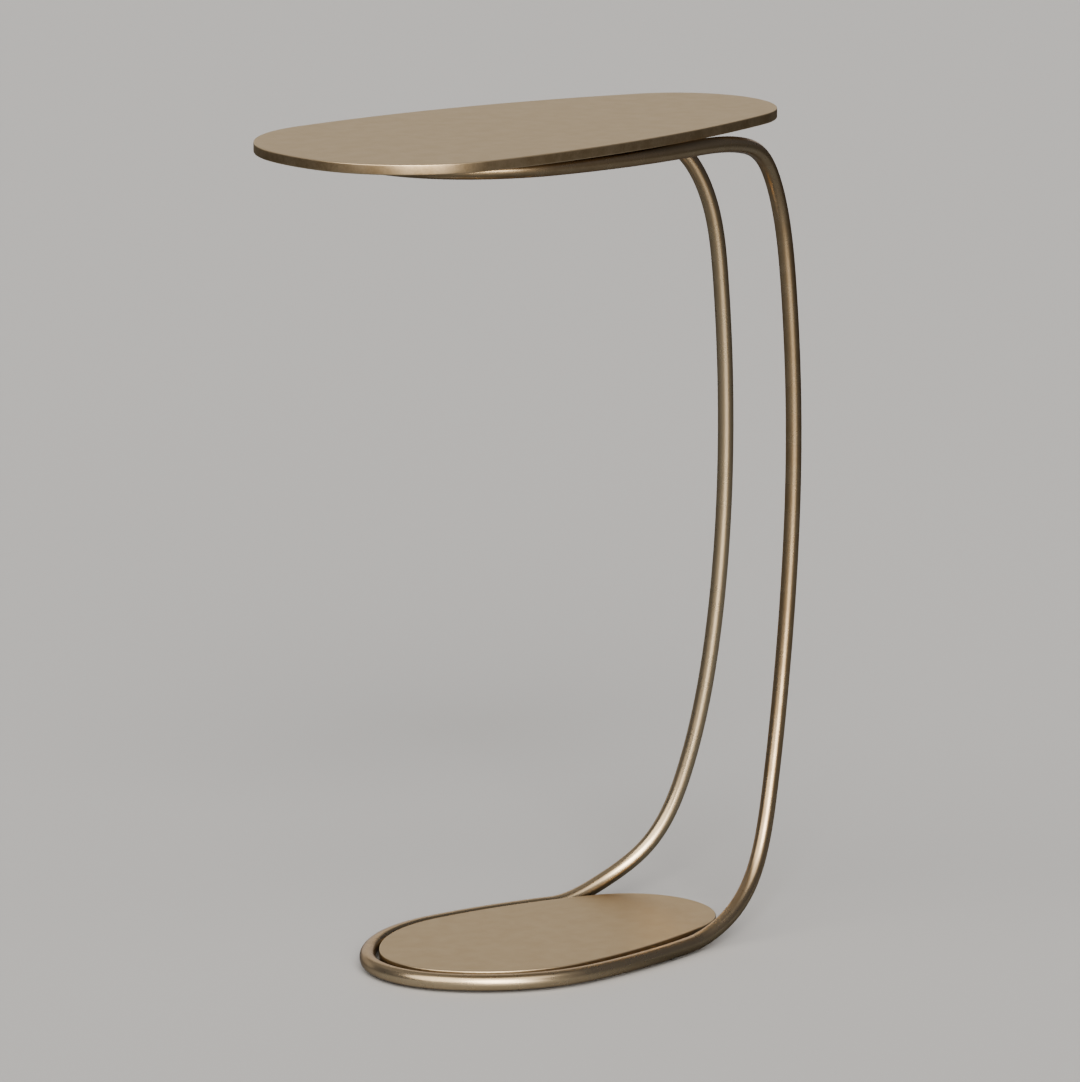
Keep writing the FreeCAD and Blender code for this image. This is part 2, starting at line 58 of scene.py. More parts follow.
PLATE_SETBACK, PLATE_LENGTH, PLATE_WIDTH = 101.9, 307.0, 181.6
PLATE_THICKNESS, PLATE_ARRIS, PLATE_PROUD = 9.0, 0.9, 0.1
PLATE_SHARES = dict(nose=0.363, corner=0.672, tail=0.3816, widest=0.592)
PLATE_UNDERSIDE = FOOT_PROUD + 2 * TUBE_RADIUS + PLATE_PROUD - PLATE_THICKNESS
RIM_GAP = 2.75

UPPER_SETBACK, UPPER_INSET, UPPER_HEEL_RUN = 76.8, 11.05, 79.4
UPPER_SHARES = dict(nose=0.454, corner=0.615, side=2.193, widest=0.771)
BASE_HEEL_RUN = 120.0
WAIST_HALF = 40.4
BOW_X = OVERALL_LENGTH / 2 - TUBE_RADIUS
UPWARD = np.array([0.0, 0, 1])

# Rows of an upright's stations: share of the way out to the bow, share of the flare that is left
# over the waist, share of the rise. The lower rows count from the base heel, the upper from the top's.
LOWER_STATION_SHARES = np.array([(0.309, 0.825, 0.0183), (0.581, 0.528, 0.0622), (0.784, 0.223, 0.164),
                                 (0.930, 0.041, 0.338), (1.0, 0.0, 0.581)])
UPPER_STATION_SHARES = np.array([(0.960, 0.0, 0.7895), (0.875, 0.046, 0.8977), (0.733, 0.194, 0.9557),
                                 (0.416, 0.608, 0.9895)])

# Tabs inside both loops, and the weld that holds each to its tube
TAB_THICKNESS, TAB_TO_HEEL = 3.0, 24.0
BEAD_RADIUS, BEAD_LENGTH, BEAD_RIPPLE, BEAD_RIPPLE_SHARE = 2.2, 18.0, 1.4, 0.12

ROUND_STEPS = 64
BEAD_STEPS, BEAD_ROUND_STEPS = 97, 20
PATH_STEP = 3.0
ARRIS_STEPS = 6
MERGE_DISTANCE = 1e-7
SMOOTH_UP_TO = math.radians(50)


# Outlines and paths

def egg_arcs(half_width, nose, corner, side, widest):
    """Half outline of tangent arcs in the complex plane, nose tip at 0, as (centre, radius, turn) rows.

    The nose and side centres follow from their radii. The corner touches both, so its centre lies
    |nose - corner| from the one and |side - corner| from the other. A turn is the angle where an
    arc ends.
    """
    nose_centre, side_centre = complex(nose, 0), complex(widest, half_width - side)
    near, far = abs(nose - corner), abs(side - corner)
    line = side_centre - nose_centre
    along = (near**2 - far**2 + abs(line)**2) / (2 * abs(line))
    across = 1j * math.sqrt(near**2 - along**2)
    way = line / abs(line)
    towards_nose = across * way if (across * way).real < 0 else -across * way
    corner_centre = nose_centre + way * along + towards_nose * math.copysign(1, nose - corner)
    nose_turn = np.angle((corner_centre - nose_centre) * math.copysign(1, nose - corner))
    corner_turn = np.angle((corner_centre - side_centre) * math.copysign(1, side - corner))
    return [(nose_centre, nose, nose_turn), (corner_centre, corner, corner_turn),
            (side_centre, side, None)]


def plate_arcs(length, width, shares):
    """A plate's half outline: egg_arcs closed by a tail arc whose centre lies on the axis.

    Side and tail touch, which fixes the side radius: (run^2 + half^2 - tail^2) / (2 (half - tail)).
    """
    half, tail, widest = width / 2, width * shares["tail"], width * shares["widest"]
    run = length - widest - tail
    side = (run**2 + half**2 - tail**2) / (2 * (half - tail))
    arcs = egg_arcs(half, width * shares["nose"], width * shares["corner"], side, widest)
    tail_centre = complex(length - tail, 0)
    side_turn = np.angle(tail_centre - arcs[2][0])
    return arcs[:2] + [(*arcs[2][:2], side_turn), (tail_centre, tail, 0.0)]


def sample_arcs(arcs, step, grow=0.0):
    """Points along a half outline from the nose tip: each point's arc centre, radius and angle."""
    parts, start = [], math.pi
    for centre, radius, turn in arcs:
        count = max(2, round(abs(start - turn) * (radius + grow) / step)) + 1
        angle = np.linspace(start, turn, count)[1 if parts else 0:]
        parts.append((np.full(angle.shape, centre), np.full(angle.shape, radius + grow), angle))
        start = turn
    return [np.concatenate(column) for column in zip(*parts)]


def loop_path(arcs, heel_run, nose_x, level, grow=0.0):
    """Centreline of a loop from the front heel round the nose to the rear heel, with its directions."""
    side_radius = arcs[2][1] + grow
    arcs = arcs[:2] + [(*arcs[2][:2], math.acos(heel_run / side_radius))]
    centre, radius, angle = sample_arcs(arcs, PATH_STEP, grow)
    flat = centre + radius * np.exp(1j * angle)
    way = -1j * np.exp(1j * angle)
    flat = np.concatenate([np.conj(flat[:0:-1]), flat])
    way = np.concatenate([-np.conj(way[:0:-1]), way])
    path = np.stack([flat.real + nose_x, flat.imag, np.full(len(flat), level)], 1)
    return path, np.stack([way.real, way.imag, np.zeros(len(way))], 1)


def smooth_line(points, start_way, end_way, step):
    """Clamped cubic spline through points, with chord lengths as parameters: places and directions."""
    gaps = np.linalg.norm(np.diff(points, axis=0), axis=1)
    stops = np.concatenate([[0], np.cumsum(gaps)])
    count = len(points)
    matrix, target = np.eye(count), np.zeros((count, 3))
    target[0], target[-1] = start_way, end_way
    inner = np.arange(1, count - 1)
    before, after = gaps[:-1], gaps[1:]
    matrix[inner, inner - 1] = after
    matrix[inner, inner] = 2 * (before + after)
    matrix[inner, inner + 1] = before
    climb = np.diff(points, axis=0) / gaps[:, None]
    target[1:-1] = 3 * (before[:, None] * climb[1:] + after[:, None] * climb[:-1])
    slopes = np.linalg.solve(matrix, target)
    at = np.linspace(0, stops[-1], round(stops[-1] / step) + 1)
    span = np.clip(np.searchsorted(stops, at, side="right") - 1, 0, count - 2)
    gap = gaps[span][:, None]
    t = (at - stops[span])[:, None] / gap
    line = ((1 + 2 * t) * (1 - t)**2 * points[span] + t * (1 - t)**2 * gap * slopes[span]
            + t**2 * (3 - 2 * t) * points[span + 1] + t**2 * (t - 1) * gap * slopes[span + 1])
    way = (6 * t * (t - 1) * (points[span] - points[span + 1]) / gap
           + (1 - t) * (1 - 3 * t) * slopes[span] + t * (3 * t - 2) * slopes[span + 1])
    return line, way / np.linalg.norm(way, axis=1)[:, None]


def stations(end, shares):
    """Places of an upright's stations, from the loop heel that their shares count from."""
    out, flare, climb = shares.T
    return np.stack([end[0] + out * (BOW_X - end[0]), -WAIST_HALF + flare * (end[1] + WAIST_HALF),
                     BASE_LEVEL + climb * (UPPER_LEVEL - BASE_LEVEL)], 1)


# Surfaces. Each gives its grid of points and the marks that its finish reads at each point: lay, the
# point in the brush's own frame; patina, how much cloudy patina is left, which lies smoother than the
# rubbed metal; then painted shade, dark where a tube lies close under the top or by the base plate's
# rim and on that rim in the gap; and painted highlight, which makes the metal paler and along the
# plates' arrises is also wear from handling.

FACE_PATINA, RIM_PATINA, TUBE_PATINA = 0.1, 1.0, 0.5
# How dark the painted shade is: on the upper loop's crest under the top, and in the gap round the base
# plate, on the plate's rim and on the tube beside it
TOP_PAINTED_SHADE, PLATE_PAINTED_SHADE = 0.8, 0.4
# Shares of the tube's radius over which painted shade darkens a tube: up its crest under the top, and on
# its side towards the plate's rim
UNDER_TOP_SHARES, AT_PLATE_SHARES = (0.3, 0.8), (0.25, 0.7)
# Painted highlight down the plates' walls
WALL_PAINTED_SHEEN = 0.2
# Share of a tube's run, and how much painted highlight makes it paler there. An upright runs from its
# foot, a loop from its front heel.
TUBE_PAINTED_SHEEN = dict(base_loop={0: 0.7},
                    upper_loop={0: 0.4, 0.08: 0.1, 0.15: 0.0},
                    front_upright={0: 0.7, 0.2: 0.0, 0.82: 0.0, 0.9: 0.9, 1: 0.4},
                    rear_upright={0: 0.7, 0.15: 0.95, 0.62: 0.85, 0.85: 0.0})
# Rows of a plate's flat face: share of the way out from its axis, and inset in arris radii
FACE_SHARES = (0.0, 0.4, 0.75, 1.0, 1.0)
FACE_INSET_SHARES = (2.2, 2.2, 2.2, 2.2, 1.3)


def grid_faces(rows, columns, close_rows):
    """Quads of a grid whose columns close on themselves, and its rows too if asked."""
    row = np.arange(rows if close_rows else rows - 1)[:, None]
    column = np.arange(columns)[None, :]
    after_row, after_column = (row + 1) % rows, (column + 1) % columns
    quads = [row * columns + column, row * columns + after_column,
             after_row * columns + after_column, after_row * columns + column]
    return np.stack([np.broadcast_to(q, (len(row), columns)) for q in quads], -1).reshape(-1, 4)


def plate_surface(arcs, thickness, arris, front_x, underside, rim_painted_shade):
    """Egg plate with rounded arrises: a profile of inset, height and outward share, carried round.

    Round the rim the outline's arcs shrink by the inset. On the flat faces a point's distance from the
    axis shrinks by the share, so rows run straight across and close on the axis.
    """
    centre, radius, angle = sample_arcs(arcs, PATH_STEP / 2)
    centre = np.concatenate([centre, np.conj(centre[-2:0:-1])])
    radius = np.concatenate([radius, radius[-2:0:-1]])
    angle = np.concatenate([angle, -angle[-2:0:-1]])
    quarter = np.linspace(0, math.pi / 2, ARRIS_STEPS + 1)
    face = np.zeros(len(FACE_SHARES))
    inset = arris * np.concatenate([FACE_INSET_SHARES, 1 - np.sin(quarter)])
    height = thickness - arris * np.concatenate([face, 1 - np.cos(quarter)])
    share = np.concatenate([FACE_SHARES, np.ones(len(quarter))])
    rim = np.concatenate([face, 1 - np.cos(quarter)])
    # Painted highlight over each arris, which is also wear from handling, and fainter down the wall
    sheen_and_wear = np.concatenate([face, np.maximum(np.sin(2 * quarter), WALL_PAINTED_SHEEN * np.sin(quarter))])
    height = np.concatenate([height, thickness - height[::-1]])[:, None]
    inset, share, rim, sheen_and_wear = (np.concatenate([rows, rows[::-1]])[:, None]
                                  for rows in (inset, share, rim, sheen_and_wear))
    flat = centre + (radius - inset) * np.exp(1j * angle)
    x, y = flat.real + front_x, flat.imag * share
    points = np.stack([x, y, np.broadcast_to(height + underside, x.shape)], -1)
    patina = FACE_PATINA + (RIM_PATINA - FACE_PATINA) * rim
    # Painted shade on the rim, in the gap round the base plate, and painted highlight with wear over the
    # arrises
    marks = dict(patina=patina, painted_shade=rim_painted_shade * rim**2, sheen_and_wear=sheen_and_wear)
    marks = {name: np.broadcast_to(mark, x.shape) for name, mark in marks.items()}
    return points, dict(marks, lay=points)


def ramp(value, start, end):
    """0 before start, 1 after end, straight between."""
    return np.clip((value - start) / (end - start), 0, 1)


def tube_painted_shade(points, plate_rim):
    """Painted shade on a tube: its crest close under the top, its side by the plate's rim."""
    under_top = ramp((points[..., 2] - UPPER_LEVEL) / TUBE_RADIUS, *UNDER_TOP_SHARES)
    flat = points[..., 0] + 1j * points[..., 1]
    to_rim = np.stack([np.abs(ring[:, None] - plate_rim).min(1) for ring in flat])
    at_plate = ramp((TUBE_RADIUS + RIM_GAP - to_rim) / TUBE_RADIUS, *AT_PLATE_SHARES)
    return np.maximum(TOP_PAINTED_SHADE * under_top, PLATE_PAINTED_SHADE * at_plate)


def run_along(path):
    """Length of path up to each of its points."""
    return np.concatenate([[0], np.cumsum(np.linalg.norm(np.diff(path, axis=0), axis=1))])


def tube_surface(path, ways, sides, plate_rim, sheen_and_wear):
    """Round tube: outer rings along a path, then the bore's rings back again, which closes the ends.

    The brush's frame is the tube pulled straight: the ring at its own place, and the run along the path.
    """
    spread = np.linspace(0, 2 * math.pi, ROUND_STEPS, endpoint=False)
    ring = (np.cos(spread)[None, :, None] * sides[:, None, :]
            + np.sin(spread)[None, :, None] * np.cross(ways, sides)[:, None, :])
    outer, bore = (path[:, None, :] + radius * ring for radius in (TUBE_RADIUS, TUBE_RADIUS - TUBE_WALL))
    points = np.concatenate([outer, bore[::-1]])
    run = run_along(path)
    there_and_back = np.concatenate([run, run[::-1]])[:, None]
    across, up = TUBE_RADIUS * np.cos(spread), TUBE_RADIUS * np.sin(spread)
    straight = np.broadcast_arrays(across, up, there_and_back)
    # Painted highlight along the run, and painted shade under the top and beside the plate's rim
    painted_sheen = np.interp(there_and_back / run[-1], *zip(*sheen_and_wear.items()))
    marks = dict(patina=np.full(points.shape[:2], TUBE_PATINA), painted_shade=tube_painted_shade(points, plate_rim),
                 sheen_and_wear=np.broadcast_to(painted_sheen, points.shape[:2]))
    return points, dict(marks, lay=np.stack(straight, -1))


def weld_bead(path, ways, middle, level):
    """Fillet weld inside a loop, where its tube crosses a level: rings along the path about a middle.

    A ring's radius is the bead's, less a ripple, times sqrt(1 - t^4), which rounds both ends off as t
    goes from -1 to 1.
    """
    t = np.linspace(-1, 1, BEAD_STEPS)
    at = middle + t * BEAD_LENGTH / 2
    run = run_along(path)
    centre, way = (np.stack([np.interp(at, run, axis) for axis in rows.T], 1) for rows in (path, ways))
    inward = np.cross(way, UPWARD)
    inward /= np.linalg.norm(inward, axis=1)[:, None]
    rise = level - path[0, 2]
    centre += inward * math.sqrt(TUBE_RADIUS**2 - rise**2) + UPWARD * rise
    ripple = 1 - BEAD_RIPPLE_SHARE * np.cos(math.pi * at / BEAD_RIPPLE)**2
    radius = BEAD_RADIUS * ripple * np.sqrt(1 - t**4)
    spread = np.linspace(0, 2 * math.pi, BEAD_ROUND_STEPS, endpoint=False)[None, :, None]
    ring = np.cos(spread) * inward[:, None, :] + np.sin(spread) * UPWARD
    return centre[:, None, :] + radius[:, None, None] * ring, {}


def piece(name, surface, close_rows, material, slot, *nodes):
    """A finished mesh piece in metres that rides on the table and replaces the CAD nodes named."""
    points, marks = surface
    mesh = bpy.data.meshes.new(name)
    faces = grid_faces(*points.shape[:2], close_rows)
    mesh.from_pydata((points.reshape(-1, 3) * MM).tolist(), [], faces.tolist())
    for mark, values in marks.items():
        kind, field = ("FLOAT_VECTOR", "vector") if values.ndim == 3 else ("FLOAT", "value")
        values = values * MM if values.ndim == 3 else values
        stored = mesh.attributes.new(mark, kind, "POINT")
        stored.data.foreach_set(field, np.ravel(values).astype(np.float32))
    work = bmesh.new()
    work.from_mesh(mesh)
    bmesh.ops.remove_doubles(work, verts=work.verts, dist=MERGE_DISTANCE)
    bmesh.ops.recalc_face_normals(work, faces=work.faces)
    work.to_mesh(mesh)
    work.free()
    mesh.polygons.foreach_set("use_smooth", np.ones(len(mesh.polygons), bool))
    mesh.set_sharp_from_angle(angle=SMOOTH_UP_TO)
    mesh.materials.append(material)
    made = bpy.data.objects.new(name, mesh)
    bpy.context.scene.collection.objects.link(made)
    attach(made, "root")
    if nodes:
        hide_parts(*nodes)


# Finishes

def linear(code):
    """An sRGB hex colour as linear red, green, blue and full alpha."""
    srgb = np.array([int(code[i:i + 2], 16) for i in (1, 3, 5)]) / 255
    return (*np.where(srgb <= 0.04045, srgb / 12.92, ((srgb + 0.055) / 1.055)**2.4), 1.0)


def add(tree, kind, settings=None, links=None):
    """Adds a shader node: properties and socket values by name or number, then links by socket."""
    node = tree.nodes.new("ShaderNode" + kind)
    for key, value in (settings or {}).items():
        if isinstance(key, str) and hasattr(node, key):
            setattr(node, key, value)
        else:
            node.inputs[key].default_value = value
    for key, source in (links or {}).items():
        tree.links.new(source, node.inputs[key])
    return node


def finish(name, **settings):
    """A new material, its node tree and its shader, with the shader's even settings by socket name."""
    material = bpy.data.materials.new(name)
    material.use_nodes = True
    shader = material.node_tree.nodes["Principled BSDF"]
    for key, value in settings.items():
        shader.inputs[key.replace("_", " ")].default_value = value
    return material, material.node_tree, shader


# Sockets of a Mix node that mixes colours
FACTOR, COLOUR_A, COLOUR_B, COLOUR_OUT = 0, 6, 7, 2
# Colours: rubbed metal, clouded patina, painted shade, and the paler colour of painted highlight and
# wear
RUBBED, CLOUDED, PAINTED_SHADE_COLOUR, PALE_SHEEN_AND_WEAR = (linear(c) for c in ("#ba9d76", "#967a55", "#2a2014", "#dcc49b"))
SHEEN_AND_WEAR_SHARE = 0.6
# Patina: its clouds and specks in millimetres, and the noise values where it starts and is full
CLOUD_SIZE, SPECK_SIZE, SPECK_SHARE = 14.0, 1.8, 0.35
CLEAR_BELOW, CLOUDED_ABOVE = 0.52, 0.83
# Roughness: what full patina takes off, and how far the clouds vary it between two noise values
PATINA_GLOSS = 0.11
CLOUD_LOW, CLOUD_HIGH, CLOUD_GLOSS = 0.3, 0.7, 0.02
# Plain finishes: the noise values where mottling starts and is full, and the strength of the grain
PALE_BELOW, DARK_ABOVE = 0.35, 0.65
GRAIN_STRENGTH = 0.3


def antique_bronze(name, brush_sizes, brush_depth, roughness, edge):
    """Bronze-plated steel, brushed, darkened and rubbed back under clear lacquer.

    To the eye: a soft satin gloss, faint clouds and specks of brown patina, glossier where more patina
    is left, darkened by painted shade where the tubes pass close under the top and round the base plate,
    and paler where painted highlight lies, which along the arrises is also wear from handling. The edge
    colour tints what it mirrors at a grazing look. Brush marks of a few hundredths of a millimetre are
    drawn as wide as brush_sizes gives, up to 2 mm, so that they show.
    """
    material, tree, shader = finish(name, Metallic=1.0, Specular_Tint=linear(edge))
    spot = add(tree, "TexCoord").outputs["Object"]
    lay = add(tree, "Attribute", {"attribute_name": "lay"}).outputs["Vector"]
    left, painted_shade, sheen_and_wear = (add(tree, "Attribute", {"attribute_name": mark}).outputs["Fac"]
                             for mark in ("patina", "painted_shade", "sheen_and_wear"))
    cloud = add(tree, "TexNoise", {"Scale": 1 / (CLOUD_SIZE * MM), "Detail": 3.0}, {"Vector": spot})
    speck = add(tree, "TexNoise", {"Scale": 1 / (SPECK_SIZE * MM), "Detail": 2.0}, {"Vector": spot})
    blend = add(tree, "Math", {"operation": "MULTIPLY_ADD", 1: SPECK_SHARE},
                {0: speck.outputs["Fac"], 2: cloud.outputs["Fac"]})
    spread = add(tree, "MapRange", {"From Min": CLEAR_BELOW, "From Max": CLOUDED_ABOVE},
                 {"Value": blend.outputs[0]})
    cover = add(tree, "Math", {"operation": "MULTIPLY"}, {0: spread.outputs["Result"], 1: left})
    colour = add(tree, "Mix", {"data_type": "RGBA", COLOUR_A: RUBBED, COLOUR_B: CLOUDED},
                 {FACTOR: cover.outputs[0]})
    # Painted shade darkens the metal
    colour = add(tree, "Mix", {"data_type": "RGBA", COLOUR_B: PAINTED_SHADE_COLOUR},
                 {FACTOR: painted_shade, COLOUR_A: colour.outputs[COLOUR_OUT]})
    # Painted highlight, and wear along the plates' arrises, make the metal paler
    bright = add(tree, "Math", {"operation": "MULTIPLY", 1: SHEEN_AND_WEAR_SHARE}, {0: sheen_and_wear})
    colour = add(tree, "Mix", {"data_type": "RGBA", COLOUR_B: PALE_SHEEN_AND_WEAR},
                 {FACTOR: bright.outputs[0], COLOUR_A: colour.outputs[COLOUR_OUT]})
    tree.links.new(colour.outputs[COLOUR_OUT], shader.inputs["Base Color"])

    gloss = add(tree, "MapRange", {"From Min": CLOUD_LOW, "From Max": CLOUD_HIGH,
                                   "To Min": roughness - CLOUD_GLOSS, "To Max": roughness + CLOUD_GLOSS},
                {"Value": cloud.outputs["Fac"]})
    gloss = add(tree, "Math", {"operation": "MULTIPLY_ADD", 1: -PATINA_GLOSS},
                {0: left, 2: gloss.outputs["Result"]})
    tree.links.new(gloss.outputs[0], shader.inputs["Roughness"])

    strokes = add(tree, "Mapping", {"Scale": [1 / (s * MM) for s in brush_sizes]}, {"Vector": lay})
    brush = add(tree, "TexNoise", {"Scale": 1.0, "Detail": 2.0}, {"Vector": strokes.outputs["Vector"]})
    relief = add(tree, "Bump", {"Distance": brush_depth * MM}, {"Height": brush.outputs["Fac"]})
    tree.links.new(relief.outputs["Normal"], shader.inputs["Normal"])
    return material


def mottled(name, pale, dark, mottle_size, roughness, grain_size, relief_depth, **settings):
    """A plain finish with soft mottling, uneven gloss and a fine grain, all by size in millimetres."""
    material, tree, shader = finish(name, **settings)
    spot = add(tree, "TexCoord").outputs["Object"]
    mottle = add(tree, "TexNoise", {"Scale": 1 / (mottle_size * MM), "Detail": 3.0}, {"Vector": spot})
    share = add(tree, "MapRange", {"From Min": PALE_BELOW, "From Max": DARK_ABOVE},
                {"Value": mottle.outputs["Fac"]})
    colour = add(tree, "Mix", {"data_type": "RGBA", COLOUR_A: linear(pale), COLOUR_B: linear(dark)},
                 {FACTOR: share.outputs["Result"]})
    tree.links.new(colour.outputs[COLOUR_OUT], shader.inputs["Base Color"])
    gloss = add(tree, "MapRange", {"To Min": roughness[0], "To Max": roughness[1]},
                {"Value": share.outputs["Result"]})
    tree.links.new(gloss.outputs["Result"], shader.inputs["Roughness"])
    grain = add(tree, "TexNoise", {"Scale": 1 / (grain_size * MM), "Detail": 2.0}, {"Vector": spot})
    relief = add(tree, "Bump", {"Strength": GRAIN_STRENGTH, "Distance": relief_depth * MM},
                 {"Height": grain.outputs["Fac"]})
    tree.links.new(relief.outputs["Normal"], shader.inputs["Normal"])
    return material


# The plates are brushed along the table, the tubes round and round.
plate_bronze = antique_bronze("satin_antique_bronze_plate", brush_sizes=(40.0, 1.6, 1.6),
                              brush_depth=0.006, roughness=0.464, edge="#dee0d7")
tube_bronze = antique_bronze("burnished_antique_bronze_tube", brush_sizes=(8.0, 8.0, 2.0),
                             brush_depth=0.003, roughness=0.335, edge="#bcb6b6")
# Sheared steel strip under the same plating, not rubbed back: brown and dull.
tab_bronze = mottled("dull_antique_bronze_tab", pale="#7f6d55", dark="#5d4d39", mottle_size=6.0,
                     roughness=(0.48, 0.62), grain_size=0.8, relief_depth=0.05, Metallic=1.0)
# Bright turned steel, grey with a faint oil film.
pin_steel = mottled("turned_steel_spigot", pale="#b9b9ba", dark="#9a9894", mottle_size=5.0,
                    roughness=(0.32, 0.45), grain_size=0.6, relief_depth=0.03, Metallic=1.0)
# Zinc plating with a clear passivate: silvery, with blue and straw tints.
screw_zinc = mottled("zinc_plated_screw", pale="#c6cad2", dark="#bdb49c", mottle_size=2.5,
                     roughness=(0.28, 0.42), grain_size=0.5, relief_depth=0.02, Metallic=1.0)
# Moulded rubber: near black, matt, a little dusty.
foot_rubber = mottled("moulded_black_rubber", pale="#1a1a1a", dark="#2b2a28", mottle_size=4.0,
                      roughness=(0.7, 0.9), grain_size=0.6, relief_depth=0.05)

# Pieces

weight_arcs = plate_arcs(PLATE_LENGTH, PLATE_WIDTH, PLATE_SHARES)
top = plate_surface(plate_arcs(TOP_LENGTH, TOP_WIDTH, TOP_SHARES), TOP_THICKNESS, TOP_ARRIS,
                    FRONT_END, TOP_UNDERSIDE, 0.0)
weight = plate_surface(weight_arcs, PLATE_THICKNESS, PLATE_ARRIS, FRONT_END + PLATE_SETBACK,
                       PLATE_UNDERSIDE, PLATE_PAINTED_SHADE)
piece("satin_top", top, False, plate_bronze, "bronze_plate", "table_top")
piece("satin_base_plate", weight, False, plate_bronze, "bronze_plate", "base_plate")

base_path, base_ways = loop_path(weight_arcs[:3], BASE_HEEL_RUN, FRONT_END + PLATE_SETBACK, BASE_LEVEL,
                                 RIM_GAP + TUBE_RADIUS)
upper_width = TOP_WIDTH - 2 * UPPER_INSET
upper_arcs = egg_arcs(upper_width / 2, *(upper_width * UPPER_SHARES[share]
                                         for share in ("nose", "corner", "side", "widest")))
upper_path, upper_ways = loop_path(upper_arcs, UPPER_HEEL_RUN, FRONT_END + UPPER_SETBACK, UPPER_LEVEL)

upright_points = np.concatenate([base_path[:1], stations(base_path[0], LOWER_STATION_SHARES),
                                 stations(upper_path[0], UPPER_STATION_SHARES), upper_path[:1]])
upright_path, upright_ways = smooth_line(upright_points, -base_ways[0], upper_ways[0], PATH_STEP)
upright_sides = np.array([0, 1, 0]) - upright_ways * upright_ways[:, 1:2]
upright_sides /= np.linalg.norm(upright_sides, axis=1)[:, None]
REAR = np.array([1, -1, 1])

# The base plate's widest ring from above, as complex numbers
plate_rim = weight[0][len(FACE_SHARES) + ARRIS_STEPS] @ np.array([1, 1j, 0])
for name, path, ways, sides in (
        ("base_loop", base_path, base_ways, np.broadcast_to(UPWARD, base_path.shape)),
        ("upper_loop", upper_path, upper_ways, np.broadcast_to(UPWARD, upper_path.shape)),
        ("front_upright", upright_path, upright_ways, upright_sides),
        ("rear_upright", upright_path * REAR, upright_ways * REAR, upright_sides * REAR)):
    surface = tube_surface(path, ways, sides, plate_rim, TUBE_PAINTED_SHEEN[name])
    piece("bent_" + name, surface, True, tube_bronze, "bronze_tube", name)

for name, path, ways, level in (("top", upper_path, upper_ways, TOP_UNDERSIDE - TAB_THICKNESS),
                                ("base", base_path, base_ways, PLATE_UNDERSIDE)):
    run, half = run_along(path), len(path) // 2
    from_heel = np.interp(TAB_TO_HEEL, path[0, 0] - path[:half, 0], run[:half])
    for spot, middle in dict(nose=run[half], front=from_heel, rear=run[-1] - from_heel).items():
        bead = weld_bead(path, ways, middle, level)
        piece("_".join([name, spot, "weld_bead"]), bead, False, tab_bronze, "bronze_tab")

KEPT_FINISHES = dict(tab=tab_bronze, spigot=pin_steel, screws=screw_zinc, foot=foot_rubber)
for node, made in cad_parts.items():
    kept = KEPT_FINISHES.get(node.split("_")[-1])
    if kept:
        made.data.materials.clear()
        made.data.materials.append(kept)

# Stage, in metres. The floor is plain to the eye. Where the metal mirrors it, painted reflections take
# the place of its paint: a painted pool of light by the table's nose, a painted shadow in a ring round
# that, mid grey out to 1.6 m and near black beyond, a painted dim room that keeps the tubes' sides dark.
# It casts no shadow, so the part of a low light that lies under it passes. The painted reflection
# colours go by distance from MIRROR_CENTRE, the furthest first.
FLOOR_RADIUS, FLOOR_STEPS = 40.0, 96
FLOOR_COLOUR, FLOOR_ROUGHNESS = "#aba7a1", 0.8
MIRROR_CENTRE, MIRROR_RADIUS = (-0.2, -0.07, 0.0), 3.0
PAINTED_REFLECTION_COLOURS = {2.6: "#25282c", 1.6: "#585e66", 0.5: "#585e66", 0.27: "#2f3338", 0.1: "#7c8188"}


def pale_floor_with_painted_reflections():
    """Matt pale paint. Where the metal mirrors it, painted reflections by distance: a pool of light, a
    shadow ring, mid grey and dark beyond.
    """
    material, tree, shader = finish("pale_floor_with_painted_reflections", Roughness=FLOOR_ROUGHNESS)
    centred = add(tree, "Mapping", {"vector_type": "TEXTURE", "Location": MIRROR_CENTRE,
                                    "Scale": [MIRROR_RADIUS] * 3},
                  {"Vector": add(tree, "TexCoord").outputs["Object"]})
    nearness = add(tree, "TexGradient", {"gradient_type": "SPHERICAL"},
                   {"Vector": centred.outputs["Vector"]})
    painted_reflection = add(tree, "ValToRGB", links={"Fac": nearness.outputs["Fac"]})
    stops = painted_reflection.color_ramp.elements
    while len(stops) < len(PAINTED_REFLECTION_COLOURS):
        stops.new(1.0)
    for stop, (distance, code) in zip(stops, PAINTED_REFLECTION_COLOURS.items()):
        stop.position = 1 - distance / MIRROR_RADIUS
        stop.color = linear(code)
    colour = add(tree, "Mix", {"data_type": "RGBA", COLOUR_A: linear(FLOOR_COLOUR)},
                 {FACTOR: add(tree, "LightPath").outputs["Is Glossy Ray"],
                  COLOUR_B: painted_reflection.outputs["Color"]})
    tree.links.new(colour.outputs[COLOUR_OUT], shader.inputs["Base Color"])
    return material


floor_mesh = bpy.data.meshes.new("floor")
floor_rim = FLOOR_RADIUS * np.exp(1j * np.linspace(0, 2 * math.pi, FLOOR_STEPS, endpoint=False))
floor_points = np.stack([floor_rim.real, floor_rim.imag, np.zeros(FLOOR_STEPS)], 1)
floor_mesh.from_pydata(floor_points.tolist(), [], [list(range(FLOOR_STEPS))])
floor_mesh.materials.append(pale_floor_with_painted_reflections())
floor = bpy.data.objects.new("floor", floor_mesh)
floor.visible_shadow = False
bpy.context.scene.collection.objects.link(floor)

LIGHT_DISTANCE, LIGHT_TARGET = 5.0, (0, 0, 0.33)
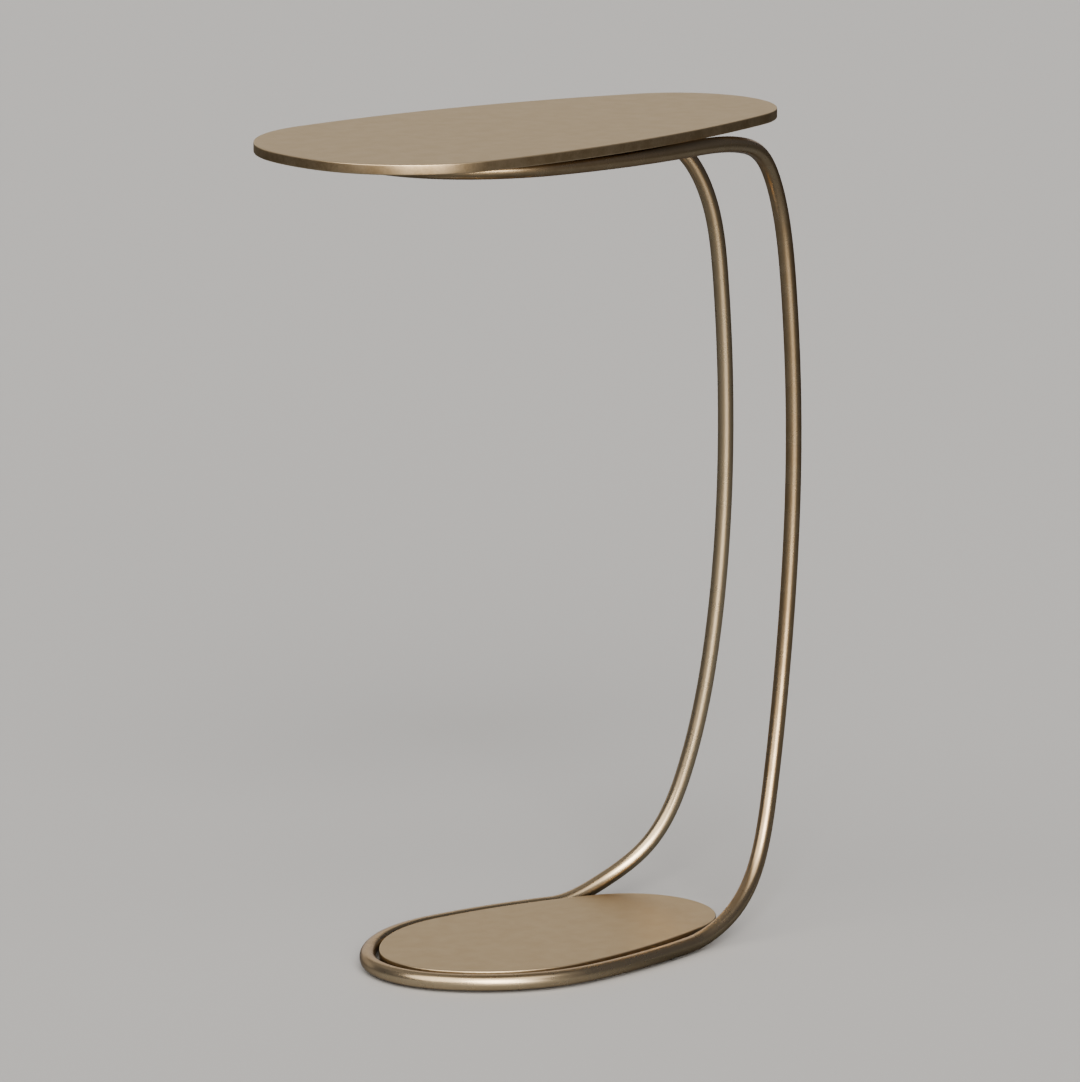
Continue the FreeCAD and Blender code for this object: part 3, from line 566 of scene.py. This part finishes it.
# Bearing, height and width in degrees, and strength. The key is a tall strip in two parts with a broad
# light to its left. The back light lies on the plates, and the weak lights draw the tubes' edges.
LIGHTS = dict(key_light=(-123, 30, 30, 3.64),
              key_low_light=(-116, 4, 36, 2.65),
              left_light=(-162, 41, 63, 2.7),
              right_top_light=(-102, 54, 40, 0.7),
              rim_light=(90, 6, 40, 0.16),
              back_light=(50, 14, 44, 0.475),
              back_top_light=(75, 55, 60, 0.15))
SURROUND = (0.088, 0.097, 0.128, 1)


def aim(thing, azimuth, elevation, distance, target):
    """Stands a thing at a bearing and a distance from a target, turned to look at it.

    Back points from the target to the thing, right lies level, and up is square to both.
    """
    turn, rise = math.radians(azimuth), math.radians(elevation)
    back = np.array([math.cos(turn) * math.cos(rise), math.sin(turn) * math.cos(rise), math.sin(rise)])
    right = np.array([-math.sin(turn), math.cos(turn), 0])
    turned = Matrix(np.stack([right, np.cross(back, right), back], 1).tolist()).to_4x4()
    turned.translation = np.asarray(target) + back * distance
    thing.matrix_world = turned
    bpy.context.scene.collection.objects.link(thing)


def soft_light(name, azimuth, elevation, spread, strength):
    """A far light at a bearing, as even as a large softbox that is spread degrees across."""
    light = bpy.data.lights.new(name, "SUN")
    light.angle = math.radians(spread)
    light.energy = strength
    aim(bpy.data.objects.new(name, light), azimuth, elevation, LIGHT_DISTANCE, LIGHT_TARGET)


for name, setting in LIGHTS.items():
    soft_light(name, *setting)

world = bpy.data.worlds.new("dim_studio")
world.use_nodes = True
world.node_tree.nodes["Background"].inputs["Color"].default_value = SURROUND
bpy.context.scene.world = world

# Camera fitted to the photograph: bearing, height and distance, focal length in pixels of 1082 rows
CAMERA_AZIMUTH, CAMERA_ELEVATION, CAMERA_DISTANCE = -130.593, 11.571, 6.1281
CAMERA_TARGET = (-0.00884, -0.01579, 0.33512)
FOCAL_PIXELS, IMAGE_ROWS, SENSOR = 7876.5, 1082, 36.0
VIEW_LIMIT = 200
camera = bpy.data.cameras.new("photo_camera")
camera.sensor_fit = "VERTICAL"
camera.sensor_height = SENSOR
camera.lens = FOCAL_PIXELS / IMAGE_ROWS * SENSOR
camera.clip_end = VIEW_LIMIT
viewpoint = bpy.data.objects.new("photo_camera", camera)
aim(viewpoint, CAMERA_AZIMUTH, CAMERA_ELEVATION, CAMERA_DISTANCE, CAMERA_TARGET)
bpy.context.scene.camera = viewpoint
